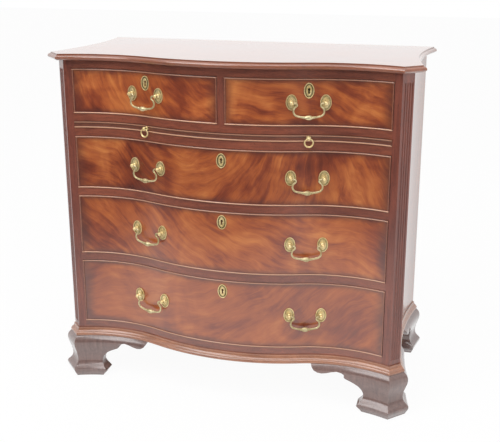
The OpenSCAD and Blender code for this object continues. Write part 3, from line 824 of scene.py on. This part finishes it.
@dataclass
class Handle:
    """One swan-neck handle: its bail and the beading of its two rosettes.

    Attributes:
        dresser: The dresser.
        bail: The CAD node of the bail.
        drawer: The drawer's name.
        half: Half the distance between the posts.
        off: How far the bail hangs in front of the wood.
        rod, pin: The radii of the rod and of its pins.
        rosette: Half width and half height of a rosette.
        hook, hook_end: The radius of the hook below the pin, and where its arc ends in degrees.
        hook_inset: How far inside the post the hook's centre lies.
        bend, bend_end: The same two sizes of the bend that leads to the grip.
        swell: How full the turned middle of the bail is.
        beads, bead: How many beads lie round a rosette, and their radius.
        inset: How far they lie inside its edge, across and up.
        proud: How far they lie in front of the wood.
        turned: Places beside the middle, and what the turned middle adds there, in millimetres.
    """

    dresser: Dresser
    bail: str
    drawer: str
    half: float = 0.040
    off: float = 0.013
    rod: float = 0.0020
    pin: float = 0.0016
    rosette: tuple[float, float] = (0.0133, 0.0188)
    hook: float = 0.0045
    hook_end: float = 240.0
    hook_inset: float = 0.008
    bend: float = 0.012
    bend_end: float = -75.0
    swell: float = 1.22
    beads: int = 34
    bead: float = 0.00082
    inset: tuple[float, float] = (0.0033, 0.0037)
    proud: float = 0.0013
    turned: tuple[tuple[float, float], ...] = (
        (21, 0.35), (18, 0.4), (15, 0.5), (12.6, 0.6), (12.0, 0.7), (11.7, 1.2), (11.1, 1.45),
        (10.5, 1.4), (10.1, 1.0), (9.6, 0.85), (8.8, 0.95), (7.8, 1.3), (6.6, 1.85), (5.4, 2.35),
        (4.2, 2.7), (3.0, 2.95), (1.8, 3.1), (0.6, 3.15))

    def stations(self) -> list[Station]:
        """Places along the bent rod, right pin to left pin: x, z, direction and radius."""
        hook_x, leaving, inwards = self.half - self.hook_inset, self.hook_end - 180, 180.0
        hook_steps, bend_steps = 16, 20

        def at(cx: float, cz: float, r: float, angle: float) -> tuple[float, float]:
            """A point on a circle."""
            return (cx + r * math.cos(math.radians(angle)), cz + r * math.sin(math.radians(angle)))

        px, pz = at(hook_x, -self.hook, self.hook, self.hook_end)
        bx, bz = at(px, pz, -self.bend, leaving)
        gx = bx + self.bend * math.cos(math.radians(self.bend_end))
        grip = gx / math.cos(math.radians(self.bend_end))
        gz = bz + (self.bend - grip) * math.sin(math.radians(self.bend_end))
        # the pin from its chamfered end to the shoulder, then the collar where the rod begins
        half: list[Station] = [(self.half + 0.0038, 0.0, inwards, self.pin * 0.8),
                               (self.half + 0.0034, 0.0, inwards, self.pin),
                               (self.half - 0.0051, 0.0, inwards, self.pin),
                               (self.half - 0.0053, 0.0, inwards, self.rod + 0.0003),
                               (hook_x + 0.0012, 0.0, inwards, self.rod + 0.0004),
                               (hook_x, 0.0, inwards, self.rod)]
        for i in range(1, hook_steps + 1):
            angle = 90 + (self.hook_end - 90) * i / hook_steps
            half.append((*at(hook_x, -self.hook, self.hook, angle), angle + 90, self.rod))
        for i in range(1, bend_steps + 1):
            angle = leaving + (self.bend_end - leaving) * i / bend_steps
            radius = self.rod + 0.00035 * i / bend_steps
            half.append((*at(bx, bz, self.bend, angle), angle - 90, radius))
        for place, extra in self.turned:
            angle = place / 1000 / grip * 180 / math.pi - 90
            radius = self.rod + self.swell * extra / 1000
            half.append((*at(0.0, gz, grip, angle), angle - 90, radius))
        return half + [(-x, z, -turn, r) for x, z, turn, r in reversed(half)]

    def build_bail(self) -> None:
        """Bends and turns the bail by Geometry Nodes: a profile swept along the stations."""
        place = self.dresser.hinge_frame(self.bail + "_hinge")
        stations = self.stations()
        points = [place @ Vector((x, 0.0, z)) for x, z, _, _ in stations]
        piece = path_of(self.bail + "_swan_neck", points, False, [r for _, _, _, r in stations])
        sweep_along(piece, self.dresser.finishes.get("bail"), sides=20)
        self.dresser.finish_off(piece, self.bail)

    def build_beading(self) -> None:
        """Sets a ring of small beads on each rosette by Geometry Nodes."""
        place = self.dresser.hinge_frame(self.bail + "_hinge")
        wide, tall = (size - inset for size, inset in zip(self.rosette, self.inset))
        for hand, side in ((-1, "left"), (1, "right")):
            middle = (hand * self.half, self.off - self.proud, 0.0)
            ring = oval(place, middle, wide, tall, 72)
            piece = path_of(f"{self.bail}_beading_{side}", ring, True)
            bead_along(piece, self.dresser.finishes.get("brass"), self.beads, self.bead)
            self.dresser.finish_off(piece, self.drawer + "_brasses", swap=False)


def tree_with(name: str, sizes: dict[str, int | float]) -> Graph:
    """A Geometry Nodes tree with a named input for each size.

    Args:
        name: The tree's name.
        sizes: The sizes by their names, a whole number for a count.

    Returns:
        The tree, ready for its nodes.
    """
    tree = bpy.data.node_groups.new(name, "GeometryNodeTree")
    tree.interface.new_socket("Geometry", in_out="INPUT", socket_type="NodeSocketGeometry")
    for label, value in sizes.items():
        kind = "NodeSocketInt" if isinstance(value, int) else "NodeSocketFloat"
        tree.interface.new_socket(label, in_out="INPUT", socket_type=kind)
    tree.interface.new_socket("Geometry", in_out="OUTPUT", socket_type="NodeSocketGeometry")
    return Graph(tree)


def run_tree(piece: Piece, graph: Graph, sizes: dict[str, int | float]) -> None:
    """Runs a tree on a piece and keeps the plain mesh.

    Args:
        piece: The piece.
        graph: The tree.
        sizes: The same sizes that the tree was made with.
    """
    modifier = piece.modifiers.new("made", "NODES")
    modifier.node_group = graph.tree
    for item in graph.tree.interface.items_tree:
        if item.in_out == "INPUT" and item.name in sizes:
            modifier[item.identifier] = sizes[item.name]
    settle(piece)


def sweep_along(piece: Piece, material: Material, sides: int) -> None:
    """Sweeps a round profile along a piece's path, with the path's own radius at each point.

    Args:
        piece: A mesh of one path with a rod_radius attribute.
        material: The finish.
        sides: The profile's sides.
    """
    sizes = {"Sides": sides}
    g = tree_with("swept rod", sizes)
    start, end = g.add("NodeGroupInput"), g.add("NodeGroupOutput")
    named = g.feed(g.add("GeometryNodeInputNamedAttribute", data_type="FLOAT"), Name="rod_radius")
    radius = named.outputs["Attribute"]
    curve = g.add("GeometryNodeMeshToCurve")
    size = g.feed(g.add("GeometryNodeSetCurveRadius"), Radius=radius)
    profile = g.feed(g.add("GeometryNodeCurvePrimitiveCircle", mode="RADIUS"), Radius=1.0,
                     Resolution=start.outputs["Sides"])
    sweep = g.feed(g.add("GeometryNodeCurveToMesh"), Fill_Caps=True,
                   Profile_Curve=profile.outputs["Curve"])
    if "Scale" in sweep.inputs:  # where the node has it, it takes the place of the curve's radius
        g.feed(sweep, Scale=radius)
    shade, real = g.add("GeometryNodeSetShadeSmooth"), g.add("GeometryNodeRealizeInstances")
    dress = g.feed(g.add("GeometryNodeSetMaterial"), Material=material)
    g.chain(start, curve, size, sweep, shade, real, dress, end)
    run_tree(piece, g, sizes)


def bead_along(piece: Piece, material: Material, count: int,
               radius: float) -> None:
    """Sets small balls at even distances along a piece's closed path.

    Args:
        piece: A mesh of one closed path.
        material: The finish.
        count: How many balls.
        radius: Their radius in metres.
    """
    sizes = {"Count": count, "Radius": radius}
    g = tree_with("bead ring", sizes)
    start, end = g.add("NodeGroupInput"), g.add("NodeGroupOutput")
    curve = g.add("GeometryNodeMeshToCurve")
    points = g.feed(g.add("GeometryNodeCurveToPoints", mode="COUNT"),
                    Count=start.outputs["Count"])
    ball = g.feed(g.add("GeometryNodeMeshIcoSphere"), Subdivisions=2,
                  Radius=start.outputs["Radius"])
    spread = g.feed(g.add("GeometryNodeInstanceOnPoints"), Instance=ball.outputs["Mesh"])
    real, shade = g.add("GeometryNodeRealizeInstances"), g.add("GeometryNodeSetShadeSmooth")
    dress = g.feed(g.add("GeometryNodeSetMaterial"), Material=material)
    g.chain(start, curve, points, spread, real, shade, dress, end)
    run_tree(piece, g, sizes)


@dataclass
class Drawer:
    """A drawer: veneered front, cockbead, linings, bottom, brasses and lock bolt.

    Attributes:
        dresser: The dresser.
        name: The drawer's name.
        veneer: The finish of its front.
        handles: The CAD nodes of its bails.
        key: Where the keyhole is, along the front and above the floor.
        ovals: Half width, half height, wire radius and finish of the ovals round the keyhole.
        proud: How far they lie in front of the wood.
        bead_round: How far the cockbead's edges are rounded.
        brass_round: How far the brasses' edges are rounded.
    """

    dresser: Dresser
    name: str
    veneer: FlameVeneer
    handles: tuple[str, ...]
    key: tuple[float, float]
    ovals: tuple[tuple[float, float, float, str], ...] = (
        (0.0108, 0.0167, 0.0009, "brass"), (0.0086, 0.0143, 0.0009, "tarnish"),
        (0.0056, 0.0098, 0.0010, "brass"))
    proud: float = 0.0012
    bead_round: float = 0.0013
    brass_round: float = 0.00025

    def build_key_ovals(self) -> None:
        """Lays the raised ovals, and the tarnished one between them, on the escutcheon."""
        place = Plan().on_front(*self.key)
        count = 40
        for number, (wide, tall, wire, finish) in enumerate(self.ovals):
            points = oval(place, (0.0, -self.proud, 0.0), wide, tall, count)
            piece = path_of(f"{self.name}_key_oval_{number}", points, True, [wire] * count)
            sweep_along(piece, self.dresser.finishes.get(finish), sides=10)
            self.dresser.finish_off(piece, self.name + "_brasses", swap=False)

    def build(self) -> None:
        """Dresses the drawer and builds its handles."""
        d = self.dresser
        d.finishes.recipes[self.name] = self.veneer
        d.round_off(self.name + "_front", self.name, Slot.FLAME)
        d.round_off(self.name + "_cockbead", "bead", Slot.BEAD, self.bead_round, 4)
        d.coat(self.name + "_linings", "oak y")
        d.coat(self.name + "_bottom", "oak x")
        d.round_off(self.name + "_brasses", "brass", Slot.BRASS, self.brass_round, curved=False)
        d.coat(self.name + "_bolt", "steel")
        self.build_key_ovals()
        for bail in self.handles:
            handle = Handle(d, bail, self.name)
            handle.build_bail()
            handle.build_beading()


@dataclass
class BrushingSlide:
    """The pull-out slide over the long drawers.

    Attributes:
        dresser: The dresser.
        ring: The rings' radius to the middle of the wire.
        wire: The wire's radius at a ring's top and bottom.
        edge_round: How far the lipping's edges are rounded.
    """

    dresser: Dresser
    ring: float = 0.010
    wire: tuple[float, float] = (0.0013, 0.0021)
    edge_round: float = 0.0008

    def build_ring(self, node: str) -> None:
        """Bends a ring whose wire grows thicker towards its lowest point.

        Args:
            node: The CAD node of the ring.
        """
        place = self.dresser.hinge_frame(node + "_hinge")
        count = 48
        turns = [2 * math.pi * i / count for i in range(count)]
        points = [place @ (self.ring * Vector((math.sin(a), 0.0, math.cos(a) - 1)))
                  for a in turns]
        thin, thick = self.wire
        radii = [thin + (thick - thin) * (1 - math.cos(a)) / 2 for a in turns]
        piece = path_of(node + "_crescent", points, True, radii)
        sweep_along(piece, self.dresser.finishes.get("brass"), sides=16)
        self.dresser.finish_off(piece, node)

    def build(self) -> None:
        """Dresses the slide, its lipping, pulls and rings."""
        d = self.dresser
        d.coat("slide_board", "slide")
        d.round_off("slide_lipping", "lipping", Slot.BEAD, self.edge_round, 3)
        d.round_off("slide_pulls", "brass", Slot.BRASS, curved=False)
        for hand in ("left", "right"):
            self.build_ring("slide_ring_" + hand)


@dataclass
class Studio:
    """Floor, light and camera.

    Attributes:
        lens_pixels: The camera's focal length in pixels of a 500-pixel-wide picture.
        stand: Where the camera stands.
        yaw: Its turn to the right of +Y, in degrees.
        pitch: How far it looks down, in degrees.
        roll: Its roll in degrees.
        picture: The width and height of that picture.
        middle: Its optical middle, in pixels from the upper left.
        sensor: The width of the camera's sensor in millimetres.
        clip: The nearest and the farthest thing that it sees.
        floor: Half the width of the floor.
        grey: How bright the floor is in its own right.
        paper: Over which distance from front to back the floor grows white for the gloss.
        near_paper: How white its near end is.
        cover: How much of the floor's own colour the camera doesn't see.
        room: The same for the world, as the level part of a direction.
        near_room: How white the world is in front.
        ambient: The world's strength on dull surfaces.
        lamps: Name, place, target, width, height and power of each lamp.
    """

    lens_pixels: float = 804.18
    stand: Point = (0.5767, -1.9865, 1.1096)
    yaw: float = -14.714
    pitch: float = 15.258
    roll: float = 0.217
    picture: tuple[float, float] = (500.0, 442.0)
    middle: tuple[float, float] = (265.48, 175.48)
    sensor: float = 36.0
    clip: tuple[float, float] = (0.05, 60.0)
    floor: float = 14.0
    grey: float = 0.86
    paper: tuple[float, float] = (-1.75, -0.85)
    near_paper: float = 0.03
    cover: float = 0.95
    room: tuple[float, float] = (-0.45, 0.3)
    near_room: float = 0.08
    ambient: float = 0.62
    lamps: list[tuple[str, Point, Point, float, float, float]] = field(default_factory=lambda: [
        ("key", (-1.6, -2.6, 2.6), (0.0, 0.0, 0.45), 2.2, 1.6, 44.0),
        ("fill", (2.4, -2.0, 1.4), (0.0, 0.0, 0.4), 1.8, 1.8, 18.0),
        ("overhead", (0.0, -1.15, 2.7), (0.0, -0.2, 0.5), 3.2, 0.9, 34.0),
        ("back", (0.0, 3.2, 1.7), (0.0, 0.0, 0.85), 5.0, 1.6, 4.5),
    ])

    def build_camera(self) -> None:
        """Makes the camera at the photograph's viewing angle."""
        yaw, pitch, roll = (math.radians(v) for v in (self.yaw, self.pitch, self.roll))
        ahead = Vector((math.sin(yaw) * math.cos(pitch), math.cos(yaw) * math.cos(pitch),
                        -math.sin(pitch)))
        right = Vector((math.cos(yaw), -math.sin(yaw), 0.0))
        up = right.cross(ahead)
        right, up = (right * math.cos(roll) + up * math.sin(roll),
                     up * math.cos(roll) - right * math.sin(roll))
        data = bpy.data.cameras.new("camera")
        wide, tall = self.picture
        data.sensor_width, data.lens = self.sensor, self.lens_pixels * self.sensor / wide
        data.shift_x = (wide / 2 - self.middle[0]) / wide
        data.shift_y = (self.middle[1] - tall / 2) / wide
        data.clip_start, data.clip_end = self.clip
        camera = fresh("camera", data)
        turn = Matrix((right, up, -ahead)).transposed().to_4x4()
        camera.matrix_world = Matrix.Translation(self.stand) @ turn
        bpy.context.scene.camera = camera

    def build_floor(self) -> None:
        """Lays the pale floor, which keeps the chest's shadow."""
        mesh = bpy.data.meshes.new("floor")
        far = self.floor
        mesh.from_pydata([(-far, -far, 0), (far, -far, 0), (far, far, 0), (-far, far, 0)], [],
                         [(0, 1, 2, 3)])
        floor = fresh("floor", mesh)
        s = Surface("floor")
        s.feed(s.shader, Base_Color=(self.grey, self.grey, self.grey, 1.0), Roughness=0.9)
        rays = s.add("ShaderNodeLightPath")
        away = s.smooth(s.maths("MULTIPLY_ADD", s.axis("X"), 0.3, s.axis("Y")), *self.paper)
        glow = s.maths("MAXIMUM", rays.outputs["Is Camera Ray"],
                       s.maths("MULTIPLY_ADD", away, 1.0 - self.near_paper, self.near_paper))
        paper = s.feed(s.add("ShaderNodeEmission"), Color=(1.0, 1.0, 1.0, 1.0), Strength=glow)
        seen = s.maths("MULTIPLY", rays.outputs["Is Camera Ray"], self.cover)
        seen = s.maths("MAXIMUM", seen, rays.outputs["Is Glossy Ray"])
        mix = s.add("ShaderNodeMixShader")
        s.put(mix.inputs[0], seen)
        s.put(mix.inputs[1], s.shader.outputs[0])
        s.put(mix.inputs[2], paper.outputs[0])
        s.feed(s.output, Surface=mix.outputs[0])
        mesh.materials.append(s.material)

    def build_world(self) -> None:
        """Sets a white background with a dimmer room in front for the gloss."""
        world = bpy.data.worlds.new("studio")
        bpy.context.scene.world = world
        world.use_nodes = True
        g = Graph(world.node_tree)
        rays = g.add("ShaderNodeLightPath")
        split = g.feed(g.add("ShaderNodeSeparateXYZ"),
                       Vector=g.add("ShaderNodeTexCoord").outputs["Generated"])
        room = g.maths("MULTIPLY_ADD", g.smooth(split.outputs[1], *self.room),
                       1.0 - self.near_room, self.near_room)
        soft = g.maths("MULTIPLY", rays.outputs["Is Diffuse Ray"], self.ambient)
        gloss = g.maths("MULTIPLY", g.maths("MAXIMUM", rays.outputs["Is Glossy Ray"],
                                            rays.outputs["Is Transmission Ray"]), room)
        total = g.maths("MAXIMUM", g.maths("MAXIMUM", soft, gloss), rays.outputs["Is Camera Ray"])
        back = g.feed(g.add("ShaderNodeBackground"), Color=(1.0, 1.0, 1.0, 1.0), Strength=total)
        g.feed(g.add("ShaderNodeOutputWorld"), Surface=back.outputs[0])

    def build_lamps(self) -> None:
        """Hangs the soft lamps."""
        for name, place, target, wide, tall, power in self.lamps:
            data = bpy.data.lights.new(name, "AREA")
            data.shape, data.size, data.size_y, data.energy = "RECTANGLE", wide, tall, power
            lamp = fresh(name, data)
            lamp.location = place
            aim = Vector(target) - Vector(place)
            lamp.rotation_euler = aim.to_track_quat("-Z", "Y").to_euler()
            lamp.visible_camera = False

    def build(self) -> None:
        """Builds the whole studio."""
        self.build_camera()
        self.build_floor()
        self.build_world()
        self.build_lamps()
        bpy.context.scene.view_settings.view_transform = "Standard"


@dataclass
class Chest:
    """The whole chest."""

    dresser: Dresser

    def drawers(self) -> list[Drawer]:
        """The five drawers with their veneers, from the top down.

        Each row has the drawer's name, its front's left, right, lower and upper edge, the
        veneer's figure, the endings of its bails' names, and the place of its keyhole.
        """
        end, muntin, lock, pair = 0.3966, 0.0123, 0.204, ("_left_bail", "_right_bail")
        short = (0.7287, 0.8345)
        # shade in each row holds painted light fall as well as the veneer's own tone
        rows = (
            ("short_left", (-end, -muntin, *short),
             dict(heart=-0.24, lean=-58.0, fan=26.0, seed=1.3, shade=0.92),
             ("_bail",), (-lock, 0.8095)),
            ("short_right", (muntin, end, *short),
             dict(heart=0.20, lean=-16.0, fan=-13.0, seed=4.1, shade=0.86),
             ("_bail",), (lock, 0.8095)),
            ("upper", (-end, end, 0.5332, 0.6628),
             dict(heart=0.02, lean=48.0, fan=66.0, seed=7.7, shade=0.84),
             pair, (0.0, 0.637)),
            ("middle", (-end, end, 0.3546, 0.5057),
             dict(heart=0.0, lean=-30.0, fan=12.0, seed=2.9, shade=0.88, calm=0.12),
             pair, (0.0, 0.482)),
            ("lower", (-end, end, 0.159, 0.3267),
             dict(heart=0.0, lean=26.0, fan=14.0, seed=5.6, shade=0.84, calm=0.4),
             pair, (0.0, 0.3005)),
        )
        return [Drawer(self.dresser, name,
                       FlameVeneer("veneer " + name.replace("_", " "), *edges, **figure),
                       tuple(name + bail for bail in bails), key)
                for name, edges, figure, bails, key in rows]

    def build(self) -> None:
        """Builds carcass, drawers and slide in order."""
        Carcass(self.dresser).build()
        for drawer in self.drawers():
            drawer.build()
        BrushingSlide(self.dresser).build()


def main() -> None:
    """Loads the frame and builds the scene."""
    logging.basicConfig(level=logging.INFO, format="%(name)s: %(message)s")
    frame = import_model()
    Studio().build()
    Chest(Dresser(frame, Finishes())).build()


if __name__ == "__main__":
    main()
